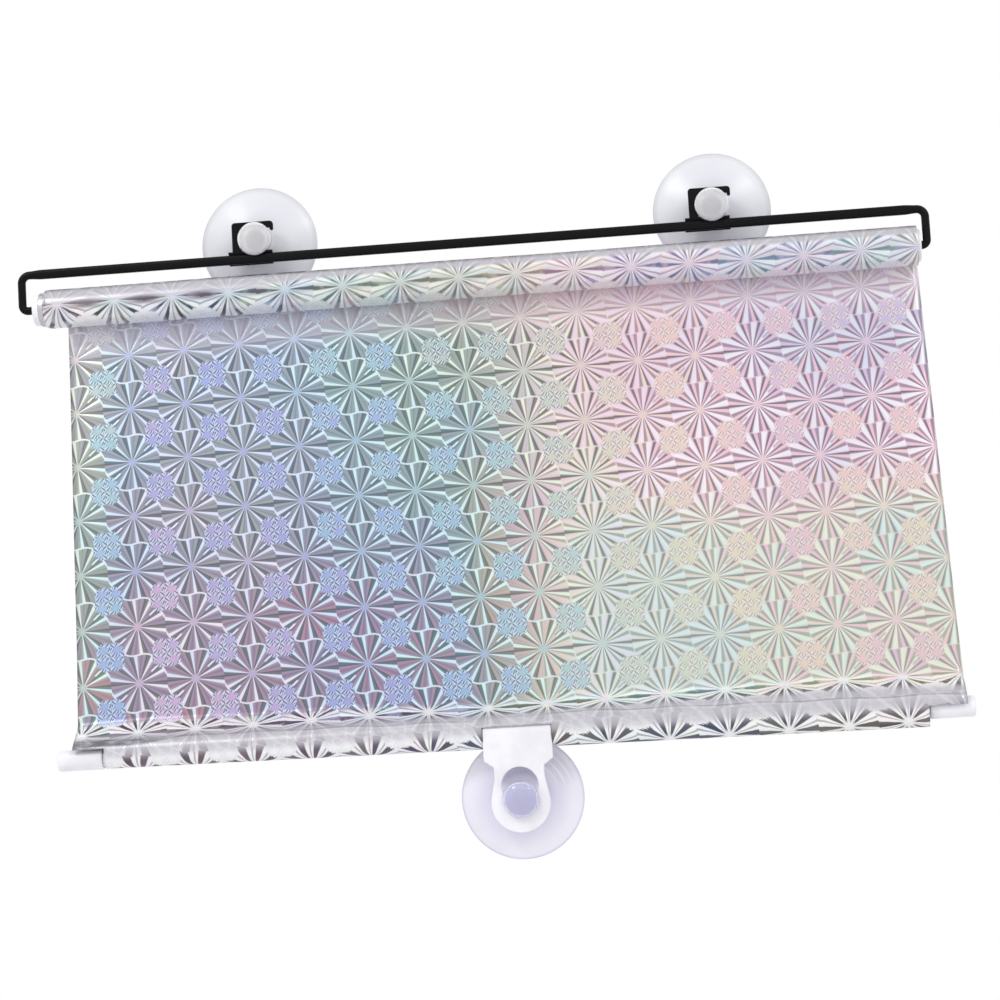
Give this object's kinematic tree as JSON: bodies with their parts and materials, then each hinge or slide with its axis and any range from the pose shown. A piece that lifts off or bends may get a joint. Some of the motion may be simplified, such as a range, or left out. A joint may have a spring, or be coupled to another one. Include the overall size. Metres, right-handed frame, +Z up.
{
  "type": "car window roller blind",
  "caption": "Spring-roller sun blind for a car side window: wire bracket on suction cups, patterned reflective film, and a bottom rail whose clip carries a suction cup",
  "frame": {"origin": "on the window glass, at the height of the two upper suction cups' axes and midway along the wire bar", "axes": "X along the roller, to the right as seen from inside the car; Y towards the window glass; Z up. The glass leans inward at its top by 9 degrees about X, and the film hangs straight down"},
  "size_m": [0.4288, 0.0355, 0.3238],
  "materials": {
    "black_enamel": "gloss black enamel",
    "white_plastic": "satin white moulded plastic",
    "clear_vinyl": "soft translucent vinyl, glossy",
    "star_film": "metallised holographic film with a repeated star-burst ornament",
    "spring_steel": "plain drawn steel",
    "zinc_tube": "zinc plated"
  },
  "bodies": {
    "bracket": {"wire_bracket": "black_enamel", "cup_clip_left": "black_enamel", "cup_clip_right": "black_enamel", "spring_arbor": "spring_steel"},
    "cup_left": {"suction_cup_left": "clear_vinyl"},
    "cup_right": {"suction_cup_right": "clear_vinyl"},
    "roller": {"roller_tube": "zinc_tube", "idle_plug": "white_plastic", "spring_bush": "white_plastic", "spring_anchor": "white_plastic", "torsion_spring": "spring_steel", "film_roll": "star_film"},
    "curtain": {"film_sheet": "star_film", "film_hem": "star_film", "bottom_rail": "white_plastic", "rail_cap_left": "white_plastic", "rail_cap_right": "white_plastic"},
    "clip": {"rail_clip": "white_plastic"},
    "cup_bottom": {"suction_cup_bottom": "clear_vinyl"}
  },
  "joints": [
    {"name": "curtain_draw", "type": "slide", "parent": "bracket", "child": "curtain", "axis": [0, 0, 1], "range_m": [-0.39, 0.188], "deforming": ["film_sheet"]},
    {"name": "roller_spin", "type": "hinge", "parent": "bracket", "child": "roller", "pos_m": [0, -0.01024, -0.02805], "axis": [1, 0, 0], "range_deg": [-2410, 1165]},
    {"name": "clip_swing", "type": "hinge", "parent": "curtain", "child": "clip", "pos_m": [0.01215, -0.00544, -0.24295], "axis": [1, 0, 0], "range_deg": [-40, 25]},
    {"name": "cup_left_spin", "type": "hinge", "parent": "bracket", "child": "cup_left", "pos_m": [-0.0999, 0, 0], "axis": [0, -0.9877, -0.1564], "continuous": true},
    {"name": "cup_right_spin", "type": "hinge", "parent": "bracket", "child": "cup_right", "pos_m": [0.1146, 0, 0], "axis": [0, -0.9877, -0.1564], "continuous": true},
    {"name": "cup_bottom_spin", "type": "hinge", "parent": "clip", "child": "cup_bottom", "pos_m": [0.01215, 0.00957, -0.2693], "axis": [0, -0.9781, -0.2079], "continuous": true}
  ],
  "couplings": [
    {"joint": "roller_spin", "follows": "curtain_draw", "rad_per_m": 107.53}
  ]
}
